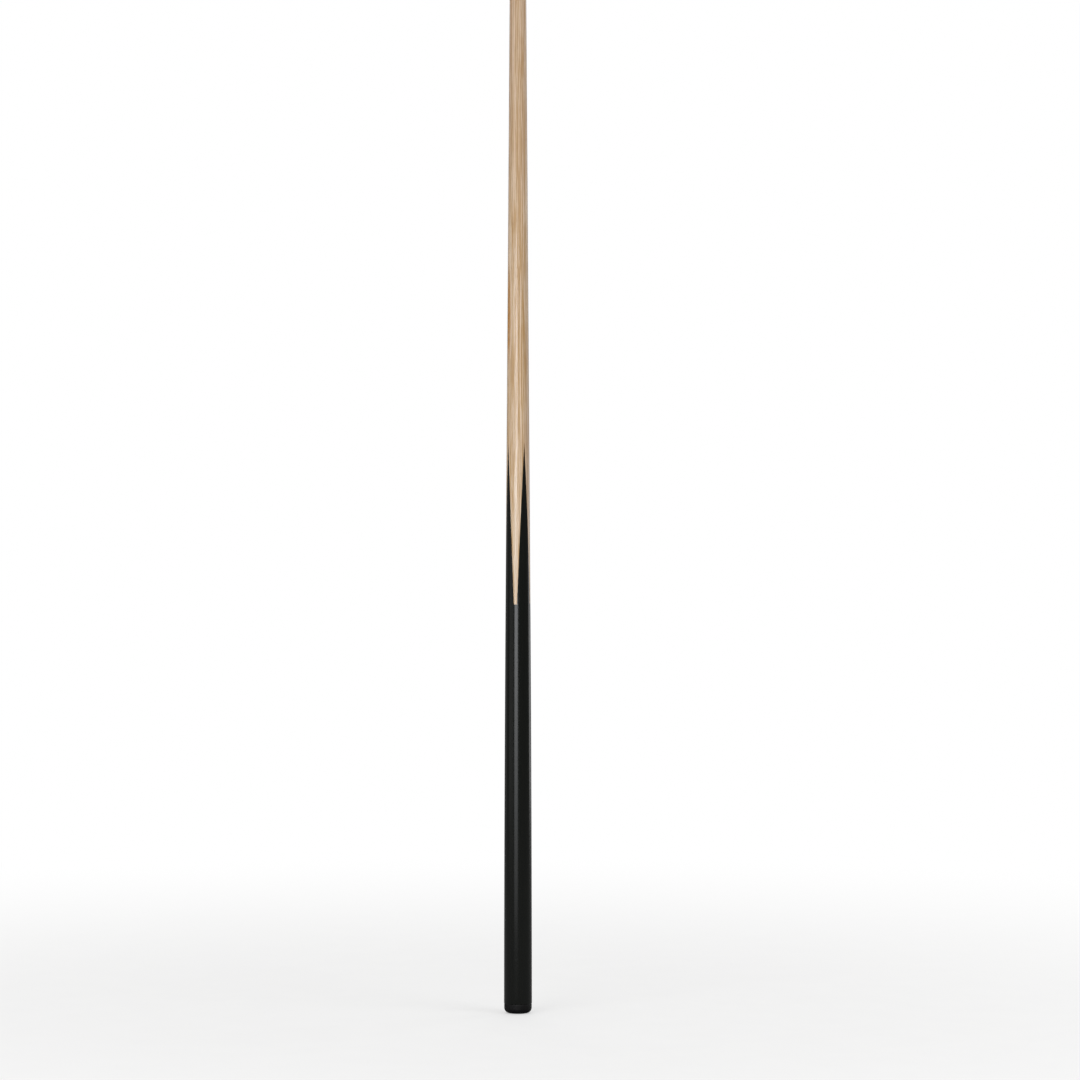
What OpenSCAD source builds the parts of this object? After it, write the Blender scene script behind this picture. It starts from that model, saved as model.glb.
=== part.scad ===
// One-piece pool cue: an ash shaft machine-spliced into a black butt.
// +Z runs along the cue from the butt to the tip. The origin is the centre of
// the bumper's base. Millimetres.

/* [Cue] */
// Overall length, from the base of the bumper to the crown of the tip
cue_length = 1448; // [1422:1:1473]
// Diameter at the thick end of the butt
butt_d = 29; // [28.5:0.1:30.5]
// Diameter of the taper at the root of the splice
splice_root_d = 25.7; // [25.2:0.1:26.2]
// Diameter of the ferrule, and of the shaft where they meet
ferrule_d = 12; // [11.5:0.1:13]

/* [Splice] */
// Height at which the ash fins end inside the black butt
splice_root_z = 426; // [400:1:450]
// Height at which the black points run out on the ash
splice_point_z = 593; // [560:1:620]
// Thickness of each ash fin at its blunt end
fin_end_t = 3.2; // [2:0.1:5]

/* [Tip and ferrule] */
// Length of the ferrule
ferrule_l = 25; // [23:1:30]
// Diameter of the shaft's tenon inside the ferrule
tenon_d = 8; // [7:0.1:8.5]
// Length of the tenon
tenon_l = 20; // [15:1:21]
// Thickness of the fibre pad under the tip
pad_t = 0.8; // [0.5:0.1:1.2]
// Height of the leather tip, crown included
leather_h = 6; // [5:0.1:7]
// Radius of the crown ground on the tip
crown_r = 10.6; // [9:0.1:12]

/* [Weight] */
// Diameter of the steel rod that brings the cue to its weight
rod_d = 12.7; // [12:0.1:14]
// Length of that rod
rod_l = 140; // [60:1:180]
// Length of the hardwood plug glued in behind it
plug_l = 42; // [40:1:60]

/* [Bumper] */
// Height of the rubber bumper
bumper_h = 10; // [10:0.5:12]
// Diameter of the rubber bumper
bumper_d = 28.6; // [28:0.1:28.8]
// Radius of the bumper's rounded lower edge
bumper_round = 5.5; // [4:0.1:6]
// Outer diameter of the washer under the screw's head
washer_d = 10.5; // [10:0.1:11]
// Thickness of the washer
washer_t = 1; // [0.8:0.1:1.2]
// Outer diameter of the screw's thread
screw_d = 4.2; // [3.8:0.1:4.5]
// Length of the screw under its head
screw_l = 32; // [28:1:34]
// Diameter of the screw's pan head
head_d = 8.2; // [8:0.1:8.6]
// Height of the screw's head
head_h = 2.8; // [2.6:0.1:3]

/* [Hidden] */
$fn = 96;

lap = 0.01;            // overlap of shapes that are joined into one solid
past = 1;              // how far a cutting shape runs past the face it cuts
glue_gap = 0.02;       // radial gap of the glued fits
thread_gap = 0.05;     // radial play of the screw in its pilot hole
hole_gap = 0.15;       // radial play of the screw in the bumper and the washer
recess_gap = 0.2;      // radial play of the washer in the bumper's recess

butt_round = 0.6;      // rounded lower edge of the butt
seam_round = 0.5;      // rounded upper edge of the bumper
rod_chamfer = 1;
drill_point = 31;      // angle of the cone that the drill leaves, in degrees
screw_point_l = 4;
screw_point_d = 1;
head_edge = 1.1;       // height of the pan head's slope
recess_w = 1;          // width of one slot of the cross recess
recess_span = 4.4;     // length of one slot of the cross recess
recess_l = 1.6;        // depth of the cross recess
swell_steps = 8;       // cones that follow the butt's swelling profile
arc_steps = 6;         // cones that follow each rounded edge

// Heights from the bumper's base up
head_z = 1;
washer_z = head_z + head_h;
floor_z = washer_z + washer_t;
butt_z = bumper_h;
rod_z = butt_z + plug_l;
bore_end_z = rod_z + rod_l + 2;
splice_top_z = splice_point_z + 10;
pad_z = cue_length - leather_h - pad_t;
ferrule_z = pad_z - ferrule_l;
screw_end_z = washer_z + screw_l;

// From the splice's root to the ferrule the cue is one straight taper. Below
// the root it swells along a parabola that leaves the straight taper at a
// tangent and reaches butt_d at the butt's end.
taper = (splice_root_d - ferrule_d) / (ferrule_z - splice_root_z);
root_to_end = splice_root_z - butt_z;
swell = (splice_root_d + taper * root_to_end - butt_d) / pow(root_to_end, 2);

function cue_r(z) =
    z >= splice_root_z
    ? (ferrule_d + taper * (ferrule_z - z)) / 2
    : (splice_root_d + taper * (splice_root_z - z) - swell * pow(splice_root_z - z, 2)) / 2;

// Half the thickness of an ash fin at height z. The black points run out where
// the corners between the fins reach the cue's surface.
point_half_t = cue_r(splice_point_z) / sqrt(2);
fin_spread = (point_half_t - fin_end_t / 2) / (splice_point_z - splice_root_z);
function fin_half_t(z) = fin_end_t / 2 + fin_spread * (z - splice_root_z);

// Points [radius, height] on a quarter round of radius r about [x, y], which
// starts at the angle from
function quarter(x, y, r, from) =
    [for (i = [0:arc_steps]) let (a = from + 90 * i / arc_steps)
        [x + r * cos(a), y + r * sin(a)]];

// The cue's tapered body from z0 to z1
module body(z0, z1) {
    swell_end_z = min(z1, splice_root_z);
    swelling = z0 < splice_root_z
        ? [for (i = [0:swell_steps]) z0 + (swell_end_z - z0) * i / swell_steps]
        : [z0];
    heights = z1 > splice_root_z ? concat(swelling, [z1]) : swelling;
    rotate_extrude()
        polygon(concat([[0, z0]], [for (z = heights) [cue_r(z), z]], [[0, z1]]));
}

// A slab through the axis that widens upward: one pair of opposite ash fins
module fin_pair() {
    low = fin_half_t(splice_root_z);
    high = fin_half_t(splice_top_z);
    rotate([90, 0, 0])
        linear_extrude(height = 2 * butt_d, center = true)
            polygon([[-low, splice_root_z], [low, splice_root_z],
                     [high, splice_top_z], [-high, splice_top_z]]);
}

module four_fins() {
    fin_pair();
    rotate([0, 0, 90]) fin_pair();
}

// Ash: one stick from the ferrule's tenon down to four fins inside the butt
module shaft() {
    color([0.77, 0.64, 0.47]) {
        intersection() {
            body(splice_root_z, splice_top_z);
            four_fins();
        }
        body(splice_top_z, ferrule_z);
        translate([0, 0, ferrule_z - lap]) cylinder(d = tenon_d, h = tenon_l + lap);
    }
}

// Black hardwood: its four points fill the corners between the ash fins
module butt() {
    edge_z = butt_z + butt_round;
    color([0.1, 0.1, 0.1])
        difference() {
            union() {
                body(edge_z, splice_top_z);
                rotate_extrude()
                    polygon(concat([[0, butt_z]],
                                   quarter(cue_r(edge_z) - butt_round, edge_z, butt_round, -90),
                                   [[0, edge_z]]));
            }
            four_fins();
            weight_bore();
        }
}

// Bore for the rod and the plug, with the cone that the drill leaves
module weight_bore() {
    r = rod_d / 2 + glue_gap;
    translate([0, 0, butt_z - past]) cylinder(r = r, h = bore_end_z - butt_z + past);
    translate([0, 0, bore_end_z - lap]) cylinder(r1 = r, r2 = 0, h = r * tan(drill_point));
}

module weight_rod() {
    end_d = rod_d - 2 * rod_chamfer;
    color("silver")
        translate([0, 0, rod_z]) {
            cylinder(d1 = end_d, d2 = rod_d, h = rod_chamfer);
            translate([0, 0, rod_chamfer]) cylinder(d = rod_d, h = rod_l - 2 * rod_chamfer);
            translate([0, 0, rod_l - rod_chamfer])
                cylinder(d1 = rod_d, d2 = end_d, h = rod_chamfer);
        }
}

// Hardwood dowel with the pilot hole for the bumper's screw
module bore_plug() {
    pilot_r = screw_d / 2 + thread_gap;
    color("tan")
        difference() {
            translate([0, 0, butt_z]) cylinder(d = rod_d, h = plug_l);
            translate([0, 0, butt_z - past])
                cylinder(r = pilot_r, h = screw_end_z - butt_z + past + 1);
        }
}

module bumper() {
    foot = bumper_d / 2 - bumper_round;
    crest = bumper_d / 2 - seam_round;
    color([0.12, 0.12, 0.12])
        difference() {
            rotate_extrude()
                polygon(concat([[0, 0]],
                               quarter(foot, bumper_round, bumper_round, -90),
                               quarter(crest, bumper_h - seam_round, seam_round, 0),
                               [[0, bumper_h]]));
            translate([0, 0, -past]) cylinder(r = washer_d / 2 + recess_gap, h = floor_z + past);
            cylinder(r = screw_d / 2 + hole_gap, h = bumper_h + past);
        }
}

module bumper_washer() {
    color("gainsboro")
        translate([0, 0, washer_z])
            difference() {
                cylinder(d = washer_d, h = washer_t);
                translate([0, 0, -past])
                    cylinder(r = screw_d / 2 + hole_gap, h = washer_t + 2 * past);
            }
}

// Pan-head wood screw with a cross recess, driven upward
module bumper_screw() {
    shank_l = screw_l - screw_point_l;
    color("lightgrey")
        difference() {
            union() {
                translate([0, 0, head_z]) cylinder(d1 = head_d - 2, d2 = head_d, h = head_edge);
                translate([0, 0, head_z + head_edge]) cylinder(d = head_d, h = head_h - head_edge);
                translate([0, 0, washer_z - lap]) cylinder(d = screw_d, h = shank_l + lap);
                translate([0, 0, washer_z + shank_l])
                    cylinder(d1 = screw_d, d2 = screw_point_d, h = screw_point_l);
            }
            for (turn = [0, 90])
                rotate([0, 0, turn])
                    translate([-recess_span / 2, -recess_w / 2, head_z - past])
                        cube([recess_span, recess_w, recess_l + past]);
        }
}

module ferrule() {
    color("ivory")
        difference() {
            translate([0, 0, ferrule_z]) cylinder(d = ferrule_d, h = ferrule_l);
            translate([0, 0, ferrule_z - past])
                cylinder(r = tenon_d / 2 + glue_gap, h = tenon_l + glue_gap + past);
        }
}

module tip_pad() {
    color("firebrick")
        translate([0, 0, pad_z]) cylinder(d = ferrule_d, h = pad_t);
}

module leather_tip() {
    color("saddlebrown")
        intersection() {
            translate([0, 0, pad_z + pad_t]) cylinder(d = ferrule_d, h = leather_h + past);
            translate([0, 0, cue_length - crown_r]) sphere(r = crown_r);
        }
}

leather_tip();
tip_pad();
ferrule();
shaft();
butt();
weight_rod();
bore_plug();
bumper();
bumper_washer();
bumper_screw();
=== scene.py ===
"""One-piece pool cue: ash shaft, four-point splice, black butt, screwed-on rubber bumper.

Lengths are in metres, and +Z runs from the butt to the tip.
"""

import math

import bmesh
import bpy
from mathutils import Matrix, Vector, noise


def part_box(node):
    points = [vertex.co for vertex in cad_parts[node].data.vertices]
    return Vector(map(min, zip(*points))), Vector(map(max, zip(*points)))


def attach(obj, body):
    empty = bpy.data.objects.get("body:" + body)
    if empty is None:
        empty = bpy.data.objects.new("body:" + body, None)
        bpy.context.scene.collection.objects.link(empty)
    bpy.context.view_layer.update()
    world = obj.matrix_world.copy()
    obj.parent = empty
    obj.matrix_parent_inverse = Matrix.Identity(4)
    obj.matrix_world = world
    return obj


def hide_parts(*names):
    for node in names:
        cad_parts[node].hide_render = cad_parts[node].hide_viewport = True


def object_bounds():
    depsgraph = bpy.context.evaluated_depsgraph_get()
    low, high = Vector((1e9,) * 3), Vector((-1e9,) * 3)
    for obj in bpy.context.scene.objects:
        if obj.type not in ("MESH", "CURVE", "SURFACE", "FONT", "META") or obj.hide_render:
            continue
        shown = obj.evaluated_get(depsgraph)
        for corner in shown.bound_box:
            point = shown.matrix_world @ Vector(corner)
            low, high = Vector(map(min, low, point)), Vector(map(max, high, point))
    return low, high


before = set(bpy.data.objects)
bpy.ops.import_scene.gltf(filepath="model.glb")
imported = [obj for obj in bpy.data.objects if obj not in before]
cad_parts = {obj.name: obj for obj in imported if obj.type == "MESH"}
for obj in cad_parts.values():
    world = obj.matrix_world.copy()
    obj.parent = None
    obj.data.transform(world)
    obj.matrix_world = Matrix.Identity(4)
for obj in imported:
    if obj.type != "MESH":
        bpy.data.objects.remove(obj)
cad_low, cad_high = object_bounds()

MM = 0.001
QUARTER = math.pi / 2

# ---------------------------------------------------------------- sizes from the frame
SHAFT_LOW, SHAFT_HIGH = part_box("shaft")
BUTT_LOW, BUTT_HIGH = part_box("butt")
FERRULE_LOW, FERRULE_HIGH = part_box("ferrule")
PAD_LOW, PAD_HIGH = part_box("tip_pad")
TIP_LOW, TIP_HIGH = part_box("leather_tip")
PLUG_LOW, PLUG_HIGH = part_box("bore_plug")
ROD_LOW, ROD_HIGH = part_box("weight_rod")
BUMPER_LOW, BUMPER_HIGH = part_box("bumper")
WASHER_LOW, WASHER_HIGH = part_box("bumper_washer")
SCREW_LOW, SCREW_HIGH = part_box("bumper_screw")

ROOT_Z = SHAFT_LOW.z  # the ash fins end here, blunt
POINT_Z = BUTT_HIGH.z  # the black points run out here
SHOULDER_Z = FERRULE_LOW.z
BUTT_Z = BUTT_LOW.z
ROOT_R = SHAFT_HIGH.x
BUTT_R = BUTT_HIGH.x
FERRULE_R = FERRULE_HIGH.x

FIN_END_HALF = 1.6 * MM  # half the thickness of a fin's blunt end
TENON_R = 4.0 * MM
GLUE_GAP = 0.02 * MM  # radial play of a glued fit
CROWN_R = 10.6 * MM  # the tip is ground to this radius
BUTT_EDGE = 0.6 * MM  # rounding of the butt's lower edge
RECESS_R = 5.45 * MM  # the bumper's recess for the washer
SCREW_HOLE_R = 2.25 * MM
PILOT_R = 2.15 * MM
SCREW_R = 2.1 * MM
PITCH = 1.8 * MM  # of the screw's thread

TAPER = (ROOT_R - FERRULE_R) / (SHOULDER_Z - ROOT_Z)
SWELL = (ROOT_R + TAPER * (ROOT_Z - BUTT_Z) - BUTT_R) / (ROOT_Z - BUTT_Z) ** 2


def cue_radius(z):
    """The cue's radius: one straight taper above the splice's root, and a parabola below it."""
    if z >= ROOT_Z:
        return FERRULE_R + TAPER * (SHOULDER_Z - z)
    return ROOT_R + TAPER * (ROOT_Z - z) - SWELL * (ROOT_Z - z) ** 2


def spaced(low, high, steps):
    """Evenly spaced values from low to high, both included."""
    return [low + (high - low) * i / steps for i in range(steps + 1)]


def fin_half(z):
    """Half the thickness of an ash fin: it grows until the fins' corners reach the surface."""
    share = (z - ROOT_Z) / (POINT_Z - ROOT_Z)
    return FIN_END_HALF + share * (cue_radius(POINT_Z) / math.sqrt(2) - FIN_END_HALF)


def polar(radius, turn):
    return (radius * math.cos(turn), radius * math.sin(turn))


def facing(azimuth, distance, z):
    """A place round the cue. Azimuth 0 is straight in front of it, on the -Y side."""
    turn = math.radians(azimuth)
    return (distance * math.sin(turn), -distance * math.cos(turn), z)


def add_object(name, data):
    """A new object in the scene."""
    item = bpy.data.objects.new(name, data)
    bpy.context.scene.collection.objects.link(item)
    return item


def mesh_of(bm, name):
    """Turns a bmesh into a mesh and frees it."""
    mesh = bpy.data.meshes.new(name)
    bm.to_mesh(mesh)
    bm.free()
    return mesh


# ---------------------------------------------------------------- camera
CAMERA_AZIMUTH = 12.0
CAMERA_DISTANCE = 6.8
CAMERA_HEIGHT = 0.919
CAMERA_DOWN = 3.595  # degrees below level
CAMERA_RIGHT = 0.191  # degrees to the right of the cue
CAMERA_ROLL = -0.0126
CAMERA_LENS = 219.7  # millimetres, on a sensor 36 wide
SENSOR_WIDTH = 36
VIEW_END = 50


def make_camera():
    data = bpy.data.cameras.new("camera")
    data.lens = CAMERA_LENS
    data.sensor_width = SENSOR_WIDTH
    data.clip_end = VIEW_END
    camera = add_object("camera", data)
    camera.location = facing(CAMERA_AZIMUTH, CAMERA_DISTANCE, CAMERA_HEIGHT)
    camera.rotation_euler = (
        math.radians(90 - CAMERA_DOWN),
        math.radians(CAMERA_ROLL),
        math.radians(CAMERA_AZIMUTH - CAMERA_RIGHT),
    )
    bpy.context.scene.camera = camera


# ---------------------------------------------------------------- node graphs
TO_MM = (1000, 1000, 1000)


def smooth_ramp(tree, low, high, out_low, out_high):
    """A node that eases from out_low to out_high as its value goes from low to high."""
    node = tree.nodes.new("ShaderNodeMapRange")
    node.interpolation_type = "SMOOTHSTEP"
    node.inputs["From Min"].default_value = low
    node.inputs["From Max"].default_value = high
    node.inputs["To Min"].default_value = out_low
    node.inputs["To Max"].default_value = out_high
    return node


class Graph:
    """A material's node tree, with short ways to add nodes. Places are in millimetres."""

    def __init__(self, name):
        self.material = bpy.data.materials.new(name)
        self.material.use_nodes = True
        self.tree = self.material.node_tree
        self.tree.nodes.clear()
        self.shader = self.node("ShaderNodeBsdfPrincipled")
        output = self.node("ShaderNodeOutputMaterial")
        self.join(self.shader.outputs[0], output.inputs["Surface"])
        place = self.node("ShaderNodeTexCoord").outputs["Object"]
        self.place = self.stretch(place, TO_MM)
        split = self.node("ShaderNodeSeparateXYZ")
        self.join(self.place, split.inputs[0])
        self.x, self.y, self.z = split.outputs

    def node(self, kind):
        return self.tree.nodes.new(kind)

    def join(self, value, socket):
        """Puts an output, a number or a colour on an input."""
        if isinstance(value, bpy.types.NodeSocket):
            self.tree.links.new(value, socket)
        else:
            socket.default_value = value

    def stretch(self, vector, factors):
        node = self.node("ShaderNodeVectorMath")
        node.operation = "MULTIPLY"
        self.join(vector, node.inputs[0])
        node.inputs[1].default_value = factors
        return node.outputs[0]

    def maths(self, operation, a, b=0.0):
        node = self.node("ShaderNodeMath")
        node.operation = operation
        self.join(a, node.inputs[0])
        self.join(b, node.inputs[1])
        return node.outputs[0]

    def add(self, *values):
        total = values[0]
        for value in values[1:]:
            total = self.maths("ADD", total, value)
        return total

    def times(self, a, b):
        return self.maths("MULTIPLY", a, b)

    def steps(self, value, low, high, out_low=0.0, out_high=1.0):
        """A smooth change from out_low to out_high as value goes from low to high."""
        node = smooth_ramp(self.tree, low, high, out_low, out_high)
        self.join(value, node.inputs["Value"])
        return node.outputs["Result"]

    def noise(self, waves, detail=2.0, rough=0.5):
        """Cloudy noise, with about that many waves to a millimetre along each axis."""
        node = self.node("ShaderNodeTexNoise")
        self.join(self.stretch(self.place, waves), node.inputs["Vector"])
        node.inputs["Scale"].default_value = 1.0
        node.inputs["Detail"].default_value = detail
        node.inputs["Roughness"].default_value = rough
        return node.outputs["Fac"]

    def swing(self, waves, detail, reach):
        """Noise about zero, that far from its lowest to its highest."""
        return self.times(self.add(self.noise(waves, detail), -0.5), reach)

    def cells(self, waves):
        """Distance to the nearest of a field of scattered points."""
        node = self.node("ShaderNodeTexVoronoi")
        node.feature = "F1"
        self.join(self.stretch(self.place, waves), node.inputs["Vector"])
        node.inputs["Scale"].default_value = 1.0
        return node.outputs["Distance"]

    def blend(self, factor, a, b):
        node = self.node("ShaderNodeMix")
        node.data_type = "RGBA"
        self.join(factor, node.inputs["Factor"])
        self.join(self.colour(a), node.inputs["A"])
        self.join(self.colour(b), node.inputs["B"])
        return node.outputs["Result"]

    @staticmethod
    def colour(value):
        return value if isinstance(value, bpy.types.NodeSocket) else (*value, 1.0)

    def bump(self, height, depth_mm):
        """Relief of that depth in millimetres where height goes from 0 to 1."""
        node = self.node("ShaderNodeBump")
        node.inputs["Strength"].default_value = 1.0
        node.inputs["Distance"].default_value = depth_mm * MM
        self.join(height, node.inputs["Height"])
        return node.outputs["Normal"]

    def finish(self, colour, rough, normal=None, metal=0.0, ior=1.5):
        self.join(self.colour(colour), self.shader.inputs["Base Color"])
        self.join(rough, self.shader.inputs["Roughness"])
        self.shader.inputs["Metallic"].default_value = metal
        self.shader.inputs["IOR"].default_value = ior
        if normal is not None:
            self.join(normal, self.shader.inputs["Normal"])
        return self.material


# ---------------------------------------------------------------- materials
def patch(g, centre, width, length):
    """A soft-edged zone about one place in the wood, in millimetres: 1 at its middle, 0 outside it."""
    parts = []
    for axis, at, size in zip((g.x, g.y, g.z), centre, (width, width, length)):
        parts.append(g.times(g.add(axis, -at), 1 / size))
    total = g.add(*(g.times(part, part) for part in parts))
    return g.steps(total, 1.0, 0.1)


def ash():
    """Straight-grained ash under satin lacquer.

    Growth rings have rows of open pores in their early wood, over fine fibre and warm and pale
    streaks. Two zones are placed: a golden one above the splice, and a painted highlight, a paler
    band down the front tongue where the low strip's reflection falls.
    """
    dark_tone, pale_tone = (0.475, 0.298, 0.135), (0.75, 0.605, 0.455)
    fibre_tone, early_tone, pore_tone = (0.44, 0.28, 0.145), (0.38, 0.21, 0.085), (0.21, 0.10, 0.038)
    warm_tone, cream_tone, pink_tone = (0.47, 0.265, 0.11), (0.80, 0.64, 0.47), (0.58, 0.40, 0.29)
    # golden_tone is a streak in the wood; the second tone here is the colour of the painted highlight
    golden_tone, painted_highlight_tone = (0.44, 0.20, 0.035), (0.84, 0.74, 0.61)
    golden_at, painted_highlight_at = (-8.9, -6.7, 722), (-0.5, -12.4, 540)
    ring_turn = math.radians(25)
    ring_width, ring_radius, ring_lean = 2.1, 45, 0.011

    g = Graph("ash_lacquered")
    u = g.add(g.times(g.x, math.cos(ring_turn)), g.times(g.y, math.sin(ring_turn)))
    v = g.add(g.times(g.x, -math.sin(ring_turn)), g.times(g.y, math.cos(ring_turn)))
    arch = g.times(g.times(v, v), 1 / (2 * ring_radius))
    sway = g.swing((0.012, 0.012, 0.0036), 1.0, 9.0)
    wobble = g.swing((0.16, 0.16, 0.017), 2.0, 1.1)
    rings = g.times(g.add(u, arch, sway, wobble, g.times(g.z, ring_lean)), 1 / ring_width)
    ring = g.maths("FRACT", rings)
    fibre = g.noise((3.0, 3.0, 0.09), 3.0, 0.65)
    thread = g.noise((0.8, 0.8, 0.020), 2.0, 0.6)
    early = g.times(g.steps(ring, 0.0, 0.06), g.steps(ring, 0.46, 0.10))
    pore = g.steps(g.cells((3.4, 3.4, 0.13)), 0.38, 0.17)
    stray = g.steps(g.cells((1.5, 1.5, 0.08)), 0.14, 0.05)
    pores = g.maths("MAXIMUM", g.times(pore, early), g.times(stray, 0.6))
    streak = g.noise((0.30, 0.30, 0.0030))
    cast = g.noise((0.05, 0.05, 0.0020), 1.0)
    golden = g.times(patch(g, golden_at, 5.0, 62), g.steps(thread, 0.62, 0.50, 0.45, 1.0))
    # painted highlight: a paler band down the front tongue, where the low strip's reflection falls,
    # broken up by the grain
    painted_highlight = g.times(patch(g, painted_highlight_at, 2.5, 185), g.steps(thread, 0.34, 0.60, 0.4, 1.0))
    colour = g.blend(g.steps(thread, 0.36, 0.64), dark_tone, pale_tone)
    colour = g.blend(g.steps(fibre, 0.3, 0.7, 0.5, 0), colour, fibre_tone)
    colour = g.blend(g.times(early, 0.6), colour, early_tone)
    colour = g.blend(g.steps(streak, 0.54, 0.70, 0, 0.6), colour, warm_tone)
    colour = g.blend(g.steps(streak, 0.44, 0.30, 0, 0.55), colour, cream_tone)
    colour = g.blend(g.steps(cast, 0.40, 0.62, 0, 0.35), colour, pink_tone)
    colour = g.blend(g.times(golden, 0.95), colour, golden_tone)
    # lays the painted highlight over the wood
    colour = g.blend(g.times(painted_highlight, 0.42), colour, painted_highlight_tone)
    colour = g.blend(g.times(pores, 0.7), colour, pore_tone)
    rough = g.add(0.14, g.times(pores, 0.25), g.times(fibre, 0.06))
    relief = g.add(g.times(pores, -1.0), g.times(fibre, 0.35), g.times(thread, 0.6))
    return g.finish(colour, rough, g.bump(relief, 0.018))


def ebonised():
    """Hardwood stained black under clear lacquer, its grain only a breath of brown and relief."""
    black_tone, brown_tone = (0.0023, 0.0033, 0.0022), (0.0050, 0.0053, 0.0038)
    pore_tone = (0.0015, 0.0015, 0.0015)

    g = Graph("hardwood_black_lacquered")
    fibre = g.noise((1.9, 1.9, 0.03), 3.0, 0.6)
    pore = g.steps(g.cells((2.4, 2.4, 0.11)), 0.2, 0.08)
    cloud = g.noise((0.09, 0.09, 0.012))
    scuff = g.steps(g.noise((0.8, 0.8, 0.16), 4.0, 0.7), 0.60, 0.78)
    colour = g.blend(g.steps(fibre, 0.4, 0.75), black_tone, brown_tone)
    colour = g.blend(g.times(pore, 0.6), colour, pore_tone)
    rough = g.add(0.14, g.times(cloud, 0.06), g.times(scuff, 0.08), g.times(pore, 0.2))
    relief = g.add(g.times(pore, -0.5), g.times(fibre, 0.3))
    return g.finish(colour, rough, g.bump(relief, 0.006))


def rubber():
    """Moulded black rubber, greyed where it stands and rubs."""
    dark_tone, pale_tone = (0.0042, 0.004, 0.0042), (0.0068, 0.0064, 0.0066)
    dust_tone = (0.022, 0.0205, 0.019)

    g = Graph("rubber_black")
    grain = g.noise((2.2, 2.2, 2.2), 4.0, 0.6)
    cloud = g.noise((0.22, 0.22, 0.3), 3.0, 0.6)
    foot = g.steps(g.z, 1.6, 0.1)
    worn = g.times(foot, g.steps(cloud, 0.38, 0.62))
    colour = g.blend(g.steps(cloud, 0.35, 0.7), dark_tone, pale_tone)
    colour = g.blend(g.times(worn, 0.4), colour, dust_tone)
    rough = g.add(0.48, g.times(grain, 0.16), g.times(worn, 0.18))
    return g.finish(colour, rough, g.bump(grain, 0.05), ior=1.34)


def ferrule_plastic():
    """Ivory-white ferrule: fine turning lines, and chalk rubbed in towards the tip."""
    cream_tone, white_tone = (0.80, 0.77, 0.68), (0.86, 0.84, 0.77)
    chalk_tone = (0.30, 0.42, 0.56)
    top, chalked = FERRULE_HIGH.z / MM, 7

    g = Graph("ferrule_ivory")
    lines = g.noise((0.05, 0.05, 9.0))
    cloud = g.noise((0.35, 0.35, 0.18), 3.0)
    smear = g.steps(g.noise((0.9, 0.9, 0.5), 4.0, 0.65), 0.42, 0.68)
    chalk = g.times(g.steps(g.z, top - chalked, top), smear)
    colour = g.blend(cloud, cream_tone, white_tone)
    colour = g.blend(g.times(chalk, 0.4), colour, chalk_tone)
    rough = g.add(0.3, g.times(lines, 0.12), g.times(chalk, 0.25))
    return g.finish(colour, rough, g.bump(lines, 0.012))


def fibre_pad():
    """Red vulcanised fibre in thin layers."""
    dark_tone, red_tone, fleck_tone = (0.22, 0.022, 0.016), (0.36, 0.04, 0.026), (0.13, 0.012, 0.01)

    g = Graph("fibre_red")
    layers = g.noise((0.1, 0.1, 14.0))
    fleck = g.noise((1.6, 1.6, 5.0), 3.0)
    colour = g.blend(layers, dark_tone, red_tone)
    colour = g.blend(g.steps(fleck, 0.55, 0.75, 0, 0.4), colour, fleck_tone)
    return g.finish(colour, g.add(0.45, g.times(fleck, 0.15)), g.bump(layers, 0.02))


def leather():
    """Pressed leather tip: a burnished side, and a scuffed crown that holds chalk."""
    dark_tone, tan_tone, grain_tone = (0.10, 0.044, 0.02), (0.25, 0.125, 0.062), (0.085, 0.04, 0.02)
    chalk_tone, pit_tone = (0.13, 0.25, 0.36), (0.05, 0.055, 0.06)
    low, high = TIP_LOW.z / MM, TIP_HIGH.z / MM

    g = Graph("leather_chalked")
    grain = g.noise((3.2, 3.2, 3.2), 5.0, 0.65)
    layers = g.noise((0.25, 0.25, 4.2), 3.0)
    crown = g.steps(g.z, low + 3.6, high - 0.9)
    scuffed = g.steps(g.noise((0.8, 0.8, 0.8)), 0.42, 0.62)
    scuffed = g.times(scuffed, g.add(0.15, g.times(crown, 0.85)))
    pits = g.times(g.steps(g.cells((2.7, 2.7, 2.7)), 0.32, 0.05), scuffed)
    dust = g.noise((1.2, 1.2, 1.0), 5.0, 0.7)
    colour = g.blend(layers, dark_tone, tan_tone)
    colour = g.blend(g.steps(grain, 0.45, 0.7, 0, 0.4), colour, grain_tone)
    colour = g.blend(g.times(crown, g.steps(dust, 0.38, 0.66, 0.05, 0.62)), colour, chalk_tone)
    colour = g.blend(g.times(pits, 0.4), colour, pit_tone)
    rough = g.add(0.34, g.times(crown, 0.48), g.times(layers, 0.08))
    relief = g.add(grain, g.times(pits, -0.8), g.times(layers, 0.8))
    return g.finish(colour, rough, g.bump(relief, 0.09))


def steel(name, tint, rough_base, stain, along=(0.4, 0.4, 7.0)):
    """Plain or plated steel with fine tool lines, and stain as a second colour in patches."""
    darker = tuple(0.78 * c for c in tint)

    g = Graph(name)
    lines = g.noise(along, 3.0, 0.6)
    cloud = g.noise((0.6, 0.6, 0.6), 3.0, 0.6)
    colour = g.blend(lines, darker, tint)
    colour = g.blend(g.steps(cloud, 0.48, 0.7, 0, 0.6), colour, stain)
    rough = g.add(rough_base, g.times(lines, 0.12), g.times(cloud, 0.1))
    return g.finish(colour, rough, g.bump(lines, 0.006), metal=1.0)


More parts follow.
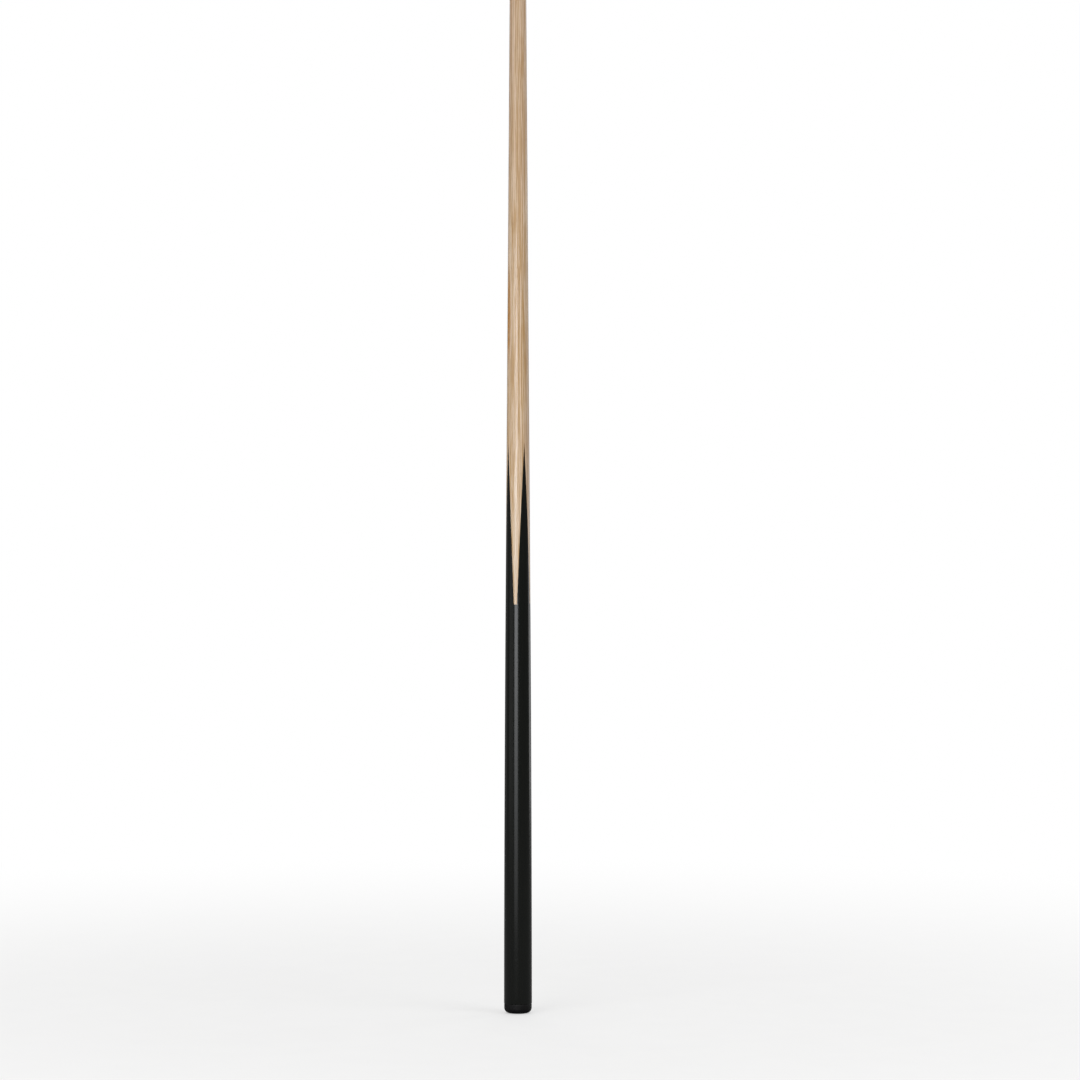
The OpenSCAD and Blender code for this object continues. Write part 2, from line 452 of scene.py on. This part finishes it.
def dowel():
    """The hardwood plug: pale beech-like wood with end grain on its face."""
    dark_tone, pale_tone, fleck_tone = (0.42, 0.26, 0.14), (0.56, 0.38, 0.23), (0.2, 0.105, 0.05)

    g = Graph("hardwood_plug")
    flow = g.noise((0.7, 0.7, 0.05))
    bow = g.times(g.times(g.y, g.y), 0.03)
    rings = g.maths("FRACT", g.times(g.add(g.x, bow, g.times(flow, 1.4)), 0.55))
    flecks = g.steps(g.cells((3.4, 3.4, 0.25)), 0.3, 0.12)
    colour = g.blend(rings, dark_tone, pale_tone)
    colour = g.blend(g.times(flecks, 0.55), colour, fleck_tone)
    return g.finish(colour, 0.62, g.bump(g.times(flecks, -1.0), 0.05))


# ---------------------------------------------------------------- mesh tools
SAME_POINT = 1e-7
NO_LENGTH = 1e-8


def to_object(name, bm, material, body, nodes, smooth=35):
    """Makes a bmesh a piece on its body, in place of its CAD nodes, smooth up to that angle."""
    bmesh.ops.remove_doubles(bm, verts=bm.verts, dist=SAME_POINT)
    bmesh.ops.dissolve_degenerate(bm, edges=bm.edges, dist=NO_LENGTH)
    bmesh.ops.recalc_face_normals(bm, faces=bm.faces)
    limit = math.radians(smooth)
    for face in bm.faces:
        face.smooth = True
    for edge in bm.edges:
        edge.smooth = edge.is_manifold and edge.calc_face_angle(0) < limit
    piece = add_object(name, mesh_of(bm, name))
    piece.data.materials.append(material)
    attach(piece, body)
    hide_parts(*nodes)
    return piece


def bridge(bm, low, high):
    """Quads between two closed rings of vertices."""
    count = len(low)
    for i in range(count):
        j = (i + 1) % count
        bm.faces.new((low[i], low[j], high[j], high[i]))


def skin(bm, rings):
    """Quads between each ring and the next."""
    for low, high in zip(rings[:-1], rings[1:]):
        bridge(bm, low, high)


def ring_at(bm, points, z):
    return [bm.verts.new((x, y, z)) for x, y in points]


def arc(x, y, radius, start, sweep, count=4):
    """Points on an arc about x, y, angles in degrees."""
    turns = (math.radians(start + sweep * i / count) for i in range(count + 1))
    return [(x + dx, y + dy) for dx, dy in (polar(radius, t) for t in turns)]


def lower_edge(radius, z, edge, count=4):
    """The rounding from an underside at z out and up to a side."""
    return arc(radius - edge, z + edge, edge, -90, 90, count)


def upper_edge(radius, z, edge, count=4):
    """The rounding from a side in and up to a top at z."""
    return arc(radius - edge, z - edge, edge, 0, 90, count)


def lathe(profile, count=96, relief=None):
    """A closed solid turned about Z.

    profile is a loop of radius and height, which starts and ends on the axis or closes on itself.
    relief(turn, z), where there is one, is added to the radius of each vertex.
    """
    bm = bmesh.new()
    on_axis = profile[0][0] == 0
    rows = []
    for radius, z in profile:
        if radius == 0:
            rows.append([bm.verts.new((0, 0, z))])
            continue
        row = []
        for i in range(count):
            turn = 2 * math.pi * i / count
            r = radius + (relief(turn, z) if relief else 0.0)
            row.append(bm.verts.new((*polar(r, turn), z)))
        rows.append(row)
    pairs = list(zip(rows[:-1], rows[1:]))
    if not on_axis:
        pairs.append((rows[-1], rows[0]))
    for low, high in pairs:
        if len(low) == 1:
            for i in range(count):
                bm.faces.new((low[0], high[(i + 1) % count], high[i]))
        elif len(high) == 1:
            for i in range(count):
                bm.faces.new((low[i], low[(i + 1) % count], high[0]))
        else:
            bridge(bm, low, high)
    return bm


# ---------------------------------------------------------------- splice
ARC_STEPS = 16  # steps along one fin's arc, and along one point's arc
SPLICE_ROWS, TAPER_ROWS, HANDLE_ROWS = 96, 60, 80
SPLICE_LEVELS = spaced(ROOT_Z, POINT_Z, SPLICE_ROWS)


def fin_angle(z):
    """Half the angle that a fin's outer face spans."""
    return math.asin(min(1.0, fin_half(z) / cue_radius(z)))


def circle_points(z, spread):
    """The whole outline at z, for each quarter first a fin's arc and then a point's arc."""
    radius = cue_radius(z)
    points = []
    for quarter in range(4):
        middle = QUARTER * quarter
        for i in range(ARC_STEPS):
            turn = middle - spread + 2 * spread * i / ARC_STEPS
            points.append(polar(radius, turn))
        for i in range(ARC_STEPS):
            turn = middle + spread + (QUARTER - 2 * spread) * i / ARC_STEPS
            points.append(polar(radius, turn))
    return points


def corner(quarter, z):
    """The inner corner between fin number quarter and the next."""
    turn = QUARTER * quarter + QUARTER / 2
    return polar(fin_half(z) * math.sqrt(2), turn)


def fins_points(z):
    """The outline of the crossed fins at z."""
    outline = circle_points(z, fin_angle(z))
    points = []
    for quarter in range(4):
        start = 2 * ARC_STEPS * quarter
        points += outline[start : start + ARC_STEPS + 1]
        points.append(corner(quarter, z))
    return points


def point_points(quarter, z):
    """The outline of one black point at z."""
    outline = circle_points(z, fin_angle(z))
    start = 2 * ARC_STEPS * quarter + ARC_STEPS
    points = [outline[(start + i) % len(outline)] for i in range(ARC_STEPS + 1)]
    return points + [corner(quarter, z)]


def cap_fins(bm, ring):
    """Closes a ring of fins_points: one face on each fin and one in the middle."""
    size = ARC_STEPS + 2
    inner = [ring[size * q + ARC_STEPS + 1] for q in range(4)]
    bm.faces.new(inner)
    for q in range(4):
        bm.faces.new([inner[q - 1], *ring[size * q : size * q + ARC_STEPS + 1], inner[q]])


def make_shaft(material):
    """Ash stick: crossed fins at its foot, a straight taper, and the tenon for the ferrule."""
    bm = bmesh.new()
    rings = [ring_at(bm, fins_points(z), z) for z in SPLICE_LEVELS]
    cap_fins(bm, rings[0])
    skin(bm, rings)
    around = 4 * ARC_STEPS
    turns = [2 * math.pi * (i - ARC_STEPS / 2) / around for i in range(around)]
    chamfer = 0.4 * MM
    rows = [(cue_radius(z), z) for z in spaced(POINT_Z, SHOULDER_Z, TAPER_ROWS)]
    rows += [
        (TENON_R, SHOULDER_Z),
        (TENON_R, SHAFT_HIGH.z - chamfer),
        (TENON_R - chamfer, SHAFT_HIGH.z),
    ]
    above = [ring_at(bm, [polar(r, t) for t in turns], z) for r, z in rows]
    skin(bm, above)
    bm.faces.new(above[-1])
    return to_object("shaft_ash", bm, material, "cue", ["shaft"])


def make_butt(material):
    """Black butt: a swelling handle bored from below, and the four points of the splice."""
    bm = bmesh.new()
    spread = fin_angle(ROOT_Z)
    edge_r = cue_radius(BUTT_Z + BUTT_EDGE)
    rounded = lower_edge(edge_r, BUTT_Z, BUTT_EDGE, 6)
    levels = spaced(BUTT_Z + BUTT_EDGE, ROOT_Z, HANDLE_ROWS)[1:]
    around = circle_points(ROOT_Z, spread)

    def scaled(radius):
        return [(x * radius / ROOT_R, y * radius / ROOT_R) for x, y in around]

    rings = [ring_at(bm, scaled(r), z) for r, z in rounded]
    rings += [ring_at(bm, scaled(cue_radius(z)), z) for z in levels]
    skin(bm, rings)
    top = ring_at(bm, fins_points(ROOT_Z), ROOT_Z)
    cap_fins(bm, top)
    for quarter in range(4):
        points = [ring_at(bm, point_points(quarter, z), z) for z in SPLICE_LEVELS]
        skin(bm, points)
    bore_r = PLUG_HIGH.x + GLUE_GAP
    spare, lip = 2 * MM, 0.25 * MM
    bore_end = ROD_HIGH.z + spare
    drill_point = math.radians(31)
    bore = [(bore_r + lip, BUTT_Z), (bore_r, BUTT_Z + lip), (bore_r, bore_end)]
    walls = [ring_at(bm, scaled(r), z) for r, z in bore]
    tip = bm.verts.new((0, 0, bore_end + bore_r * math.tan(drill_point)))
    bridge(bm, walls[0], rings[0])
    skin(bm, walls)
    last = walls[-1]
    for i in range(len(last)):
        bm.faces.new((last[i], last[(i + 1) % len(last)], tip))
    return to_object("butt_black", bm, material, "cue", ["butt"])


# ---------------------------------------------------------------- turned pieces
def make_ferrule(material):
    """White sleeve with a blind bore for the shaft's tenon."""
    radius, edge = FERRULE_R, 0.12 * MM
    bore_r, bore_end = TENON_R + GLUE_GAP, SHAFT_HIGH.z + GLUE_GAP
    low, high = FERRULE_LOW.z, FERRULE_HIGH.z
    profile = [(0, bore_end), (bore_r, bore_end), (bore_r, low)]
    profile += lower_edge(radius, low, edge)
    profile += [(radius, z) for z in spaced(low, high, 8)[1:-1]]
    profile += upper_edge(radius, high, edge)
    profile += [(0, high)]
    return to_object("ferrule_sleeve", lathe(profile), material, "cue", ["ferrule"])


def make_pad(material):
    """Thin fibre disc between ferrule and tip."""
    radius, edge = FERRULE_R, 0.1 * MM
    low, high = PAD_LOW.z, PAD_HIGH.z
    profile = [(0, low), *lower_edge(radius, low, edge), *upper_edge(radius, high, edge), (0, high)]
    return to_object("pad_fibre", lathe(profile), material, "cue", ["tip_pad"])


def make_tip(material):
    """Leather tip: a straight side, a crown ground to a radius, and a scuffed skin."""
    radius, edge = FERRULE_R, 0.1 * MM
    low, high = TIP_LOW.z, TIP_HIGH.z
    centre = high - CROWN_R
    reach = math.asin(radius / CROWN_R)
    side_top = centre + CROWN_R * math.cos(reach)
    crown_rows = 26
    profile = [(0, low)]
    profile += lower_edge(radius, low, edge)
    profile += [(radius, z) for z in spaced(low + edge, side_top, 16)[1:-1]]
    crown = [reach * (1 - i / crown_rows) for i in range(crown_rows)]
    profile += [(CROWN_R * math.sin(t), centre + CROWN_R * math.cos(t)) for t in crown]
    profile += [(0, high)]
    bm = lathe(profile, 160)
    scuff_scale, scuff_depth, scuffed_from = 2600, 0.035 * MM, 3 * MM
    middle = Vector((0, 0, centre))
    for vert in bm.verts:
        if vert.co.z < low + 2 * edge:
            continue
        rough = noise.fractal(vert.co * scuff_scale, 0.7, 2.1, 4)
        depth = scuff_depth * (0.5 + 0.5 * rough) * min(1, (vert.co.z - low) / scuffed_from)
        outward = vert.co - middle
        if vert.co.z < side_top - 0.2 * MM:
            outward = Vector((vert.co.x, vert.co.y, 0))
        vert.co -= outward.normalized() * max(0.0, depth)
    return to_object("tip_leather", bm, material, "cue", ["leather_tip"], 60)


def make_rod(material):
    """Steel weight rod: turned, with chamfered ends and a centre drilling in each."""
    radius, low, high = ROD_HIGH.x, ROD_LOW.z, ROD_HIGH.z
    chamfer = 1.0 * MM
    centre_r, centre_l, pip_r = 1.2 * MM, 1.8 * MM, 0.5 * MM
    half = [(0, centre_l), (pip_r, centre_l - 0.3 * MM), (pip_r, 0.9 * MM), (centre_r, 0)]
    half += [(radius - chamfer, 0), (radius, chamfer)]
    profile = [(r, low + z) for r, z in half]
    profile += [(radius, z) for z in spaced(low, high, 6)[1:-1]]
    profile += [(r, high - z) for r, z in reversed(half)]
    return to_object("rod_steel", lathe(profile), material, "cue", ["weight_rod"])


def make_plug(material):
    """Dowel with the pilot hole for the bumper's screw."""
    radius, low, high = PLUG_HIGH.x, PLUG_LOW.z, PLUG_HIGH.z
    edge, spare = 0.3 * MM, 1.0 * MM
    hole_end = SCREW_HIGH.z + spare
    profile = [(0, hole_end), (PILOT_R, hole_end), (PILOT_R, low + edge), (PILOT_R + edge, low)]
    profile += [(radius - edge, low), (radius, low + edge), (radius, high - edge), (radius - edge, high)]
    profile += [(0, high)]
    return to_object("plug_dowel", lathe(profile), material, "cue", ["bore_plug"])


def make_bumper(material):
    """Rubber bumper: a rounded foot and a stepped hole for the washer and screw."""
    radius, low, high = BUMPER_HIGH.x, BUMPER_LOW.z, BUMPER_HIGH.z
    foot, seam, lip = 5.5 * MM, 0.5 * MM, 0.35 * MM
    flat, side = 0.5 * MM, 2 * MM
    ledge = WASHER_HIGH.z
    profile = [(SCREW_HOLE_R, high), (SCREW_HOLE_R, ledge), (RECESS_R, ledge), (RECESS_R, low + lip)]
    profile += arc(RECESS_R + lip, low + lip, lip, 180, 90)[1:]
    profile += [(RECESS_R + lip + flat, low)]
    profile += lower_edge(radius, low, foot, 14)
    profile += [(radius, low + foot + side)]
    profile += upper_edge(radius, high, seam, 5)
    return to_object("bumper_rubber", lathe(profile, 128), material, "bumper", ["bumper"], 50)


def make_washer(material):
    """Flat washer, stamped from below, so that its lower edges are rounded."""
    radius, low, high = WASHER_HIGH.x, WASHER_LOW.z, WASHER_HIGH.z
    edge = 0.25 * MM
    profile = [(SCREW_HOLE_R, high), (SCREW_HOLE_R, low + edge)]
    profile += arc(SCREW_HOLE_R + edge, low + edge, edge, 180, 90)[1:]
    profile += lower_edge(radius, low, edge)
    profile += [(radius, high)]
    return to_object("washer_steel", lathe(profile), material, "bumper", ["bumper_washer"])


def cross_cutter(depth, z):
    """A cross recess as a closed solid: two crossed bars that narrow as they go up from z."""
    mouth, floor = (2.3 * MM, 0.52 * MM), (1.15 * MM, 0.3 * MM)
    proud = 0.4 * MM
    cutter = bmesh.new()
    for turn in (0, 90):
        corners = []
        for (long, wide), height in ((mouth, z - proud), (floor, z + depth)):
            spot = [(-long, -wide), (long, -wide), (long, wide), (-long, wide)]
            corners.append([cutter.verts.new((x, y, height)) for x, y in spot])
        bridge(cutter, *corners)
        cutter.faces.new(corners[1])
        cutter.faces.new(corners[0])
        bmesh.ops.rotate(
            cutter,
            cent=(0, 0, 0),
            matrix=Matrix.Rotation(math.radians(turn), 3, "Z"),
            verts=[v for ring in corners for v in ring],
        )
    bmesh.ops.recalc_face_normals(cutter, faces=cutter.faces)
    return cutter


def cut(bm, cutter):
    """bm with the cutter taken out of it, by Blender's exact boolean."""
    objects = []
    for name, part in (("cut_body", bm), ("cut_tool", cutter)):
        objects.append(add_object(name, mesh_of(part, name)))
    body, tool = objects
    modifier = body.modifiers.new("cut", "BOOLEAN")
    modifier.operation = "DIFFERENCE"
    modifier.solver = "EXACT"
    modifier.use_self = True
    modifier.object = tool
    result = bpy.data.meshes.new_from_object(body.evaluated_get(bpy.context.evaluated_depsgraph_get()))
    out = bmesh.new()
    out.from_mesh(result)
    for item in objects:
        mesh = item.data
        bpy.data.objects.remove(item)
        bpy.data.meshes.remove(mesh)
    bpy.data.meshes.remove(result)
    return out


def make_screw(material):
    """Pan-head wood screw: cross recess, plain neck, and a right-hand thread that ends on the point."""
    head_low, head_high = SCREW_LOW.z, WASHER_LOW.z
    head_r, flat_r, head_edge = SCREW_HIGH.x, 2.6 * MM, 0.15 * MM
    dome, dome_rows, recess = 1.3 * MM, 8, 1.7 * MM
    neck_r, core_r, fillet = 1.55 * MM, 1.45 * MM, 0.3 * MM
    thread_start, end = head_high + 5 * MM, SCREW_HIGH.z
    thread_h = SCREW_R * 0.995 - core_r
    thread_rows = int((end - thread_start) / PITCH * 16)
    ridge_half = 0.26  # of the pitch
    point_l, point_r = 4.5 * MM, 0.12 * MM

    def envelope(z):
        """Core and crest radius at z, which close in on the point."""
        share = min(1.0, (end - z) / point_l)
        run_in = min(1.0, (z - thread_start) / (2 * PITCH))
        core = point_r + (core_r - point_r) * share
        return core, core + thread_h * run_in * share**0.6

    def thread(turn, z):
        """How far the thread stands out of its core there."""
        if z < thread_start:
            return 0.0
        core, crest = envelope(z)
        phase = (z / PITCH - turn / (2 * math.pi)) % 1.0
        ridge = max(0.0, 1.0 - abs(phase - 0.5) / ridge_half)
        return (crest - core) * ridge**0.8

    profile = [(0, head_low), (flat_r, head_low)]
    for i in range(1, dome_rows + 1):
        turn = math.radians(90 * i / dome_rows)
        side = flat_r + (head_r - flat_r) * math.sin(turn)
        profile.append((side, head_low + dome * (1 - math.cos(turn))))
    profile += [(head_r, head_high - head_edge), (head_r - head_edge, head_high)]
    profile += [(neck_r + fillet, head_high), (neck_r, head_high + fillet)]
    profile += [(envelope(z)[0], z) for z in spaced(thread_start, end, thread_rows)[:-1]]
    profile += [(0, end)]
    bm = lathe(profile, 48, thread)
    bmesh.ops.recalc_face_normals(bm, faces=bm.faces)
    bm = cut(bm, cross_cutter(recess, head_low))
    return to_object("screw_pan_head", bm, material, "bumper_screw", ["bumper_screw"], 28)


# ---------------------------------------------------------------- stage
WHITE = (1, 1, 1, 1)
FLOOR_R = 6.0
FLOOR_DROP = 0.2 * MM  # keeps the floor off the bumper's foot
FLOOR_TO_LIGHT = (0.15, 0.15, 0.15)  # dark, so that little light comes back up at the cue
FLOOR_TO_CAMERA = (0.66, 0.66, 0.66), (0.70, 0.70, 0.70)
FLOOR_FADE = 250, 1500  # millimetres from the cue, over which the floor turns white


def make_floor():
    """Pale round floor that fades into the white surround and is clear to a camera below it.

    It rides the bumper, so that it stays under it when that is drawn out.
    """
    bm = bmesh.new()
    bmesh.ops.create_circle(bm, cap_ends=True, radius=FLOOR_R, segments=96)
    floor = add_object("floor", mesh_of(bm, "floor"))
    floor.location.z = cad_low.z - FLOOR_DROP
    g = Graph("floor_pale")
    radius = g.node("ShaderNodeVectorMath")
    radius.operation = "LENGTH"
    g.join(g.place, radius.inputs[0])
    fade = g.steps(radius.outputs["Value"], *FLOOR_FADE)
    paper = g.noise((0.02, 0.02, 0.02), 3.0)
    seen = g.node("ShaderNodeLightPath").outputs["Is Camera Ray"]
    pale = g.blend(paper, *FLOOR_TO_CAMERA)
    g.finish(g.blend(seen, FLOOR_TO_LIGHT, pale), 0.9)
    glow = g.node("ShaderNodeEmission")
    glow.inputs["Color"].default_value = WHITE
    mixer = g.node("ShaderNodeMixShader")
    share = g.times(seen, g.add(0.5, g.times(fade, 0.5)))
    g.join(share, mixer.inputs[0])
    g.join(g.shader.outputs[0], mixer.inputs[1])
    g.join(glow.outputs[0], mixer.inputs[2])
    below = g.node("ShaderNodeMixShader")
    g.join(g.times(seen, g.node("ShaderNodeNewGeometry").outputs["Backfacing"]), below.inputs[0])
    g.join(mixer.outputs[0], below.inputs[1])
    g.join(g.node("ShaderNodeBsdfTransparent").outputs[0], below.inputs[2])
    output = next(n for n in g.tree.nodes if n.type == "OUTPUT_MATERIAL")
    g.join(below.outputs[0], output.inputs["Surface"])
    floor.data.materials.append(g.material)
    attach(floor, "bumper")


ROOM_TINT = (1.0, 0.995, 0.985, 1)
ROOM, CEILING = 0.14, 0.75  # brightness at eye level and overhead
CEILING_FROM, CEILING_TO = 0.12, 0.8  # how steeply a ray has to rise to meet it


def make_world():
    """White to the camera. To everything else, a dim room at eye level with a bright ceiling."""
    world = bpy.data.worlds.new("studio")
    world.use_nodes = True
    tree = world.node_tree
    tree.nodes.clear()
    output = tree.nodes.new("ShaderNodeOutputWorld")
    mixer = tree.nodes.new("ShaderNodeMixShader")
    white = tree.nodes.new("ShaderNodeBackground")
    room = tree.nodes.new("ShaderNodeBackground")
    white.inputs["Color"].default_value = WHITE
    room.inputs["Color"].default_value = ROOM_TINT
    split = tree.nodes.new("ShaderNodeSeparateXYZ")
    ramp = smooth_ramp(tree, CEILING_FROM, CEILING_TO, ROOM, CEILING)
    path = tree.nodes.new("ShaderNodeLightPath")
    tree.links.new(tree.nodes.new("ShaderNodeTexCoord").outputs["Generated"], split.inputs[0])
    tree.links.new(split.outputs[2], ramp.inputs["Value"])
    tree.links.new(ramp.outputs["Result"], room.inputs["Strength"])
    tree.links.new(path.outputs["Is Camera Ray"], mixer.inputs[0])
    tree.links.new(room.outputs[0], mixer.inputs[1])
    tree.links.new(white.outputs[0], mixer.inputs[2])
    tree.links.new(mixer.outputs[0], output.inputs["Surface"])
    bpy.context.scene.world = world


def softbox(name, offset, distance, z, width, height, radiance, aim_z):
    """A rectangular softbox that faces the cue, offset degrees round it from the camera."""
    data = bpy.data.lights.new(name, "AREA")
    data.shape = "RECTANGLE"
    data.size, data.size_y = width, height
    data.energy = radiance * math.pi * width * height
    lamp = add_object(name, data)
    lamp.location = facing(CAMERA_AZIMUTH + offset, distance, z)
    aim = Vector((0, 0, aim_z)) - lamp.location
    lamp.rotation_euler = aim.to_track_quat("-Z", "Y").to_euler()
    lamp.visible_camera = False
    return lamp


def fade_down(lamp, bottom, full):
    """Dims a softbox below that share of its height, down to the strength bottom at its edge."""
    lamp.data.use_nodes = True
    tree = lamp.data.node_tree
    shine = next(n for n in tree.nodes if n.type == "EMISSION")
    across = tree.nodes.new("ShaderNodeNewGeometry").outputs["Parametric"]
    split = tree.nodes.new("ShaderNodeSeparateXYZ")
    ramp = smooth_ramp(tree, 0.0, full, bottom, 1.0)
    tree.links.new(across, split.inputs[0])
    tree.links.new(split.outputs[1], ramp.inputs["Value"])
    tree.links.new(ramp.outputs["Result"], shine.inputs["Strength"])


# Each softbox: name, offset from the camera's azimuth, distance, height of its middle, width,
# height, radiance, height aimed at. The low strip gives the cue its highlight.
STRIP = ("strip", -16, 0.8, 0.405, 0.42, 0.80, 4.8, 0.405)
STRIP_TINT = (0.96, 0.97, 1.0)
STRIP_BOTTOM, STRIP_FULL = 0.13, 0.62  # strength at its lower edge, and how far up it is full
SOFTBOXES = (
    ("key_high", -30, 1.7, 2.5, 1.2, 1.2, 4.6, 0.9),
    ("fill_high", 55, 1.7, 2.5, 1.2, 1.2, 4.6, 0.9),
    ("back_high", 180, 1.7, 2.5, 1.2, 1.2, 3.0, 0.9),
    ("fill_left", -64, 2.0, 0.9, 1.5, 2.0, 0.27, 0.7),
    ("rim_left", -128, 2.0, 0.9, 0.9, 1.8, 0.15, 0.7),
    ("rim_right", 128, 2.0, 0.9, 0.9, 1.8, 1.4, 0.7),
)


def make_lights():
    """Lights the studio and gives back the low strip."""
    make_world()
    strip = softbox(*STRIP)
    strip.data.color = STRIP_TINT
    fade_down(strip, STRIP_BOTTOM, STRIP_FULL)
    for box in SOFTBOXES:
        softbox(*box)
    return strip


def keep_off_floor(lamp, pieces):
    """Lets a low softbox light only these pieces, so that it leaves no pool of light on the floor."""
    lit = bpy.data.collections.new("lit_pieces")
    for piece in pieces:
        lit.objects.link(piece)
    lamp.light_linking.receiver_collection = lit


# ---------------------------------------------------------------- the cue
TURNED, RUST = (0.42, 0.41, 0.40), (0.2, 0.12, 0.08)
ZINC, DULL_ZINC = (0.62, 0.62, 0.63), (0.5, 0.5, 0.49)
BRIGHT_ZINC, YELLOWED_ZINC = (0.68, 0.68, 0.69), (0.58, 0.56, 0.5)

make_camera()
make_floor()

pieces = [
    make_rod(steel("steel_turned", TURNED, 0.32, RUST, (0.3, 0.3, 11.0))),
    make_shaft(ash()),
    make_butt(ebonised()),
    make_ferrule(ferrule_plastic()),
    make_pad(fibre_pad()),
    make_tip(leather()),
    make_plug(dowel()),
    make_bumper(rubber()),
    make_washer(steel("steel_zinc", ZINC, 0.26, DULL_ZINC)),
    make_screw(steel("steel_zinc_bright", BRIGHT_ZINC, 0.2, YELLOWED_ZINC)),
]
keep_off_floor(make_lights(), pieces)

scene = bpy.context.scene
scene.view_settings.view_transform = "Standard"
scene.view_settings.look = "None"
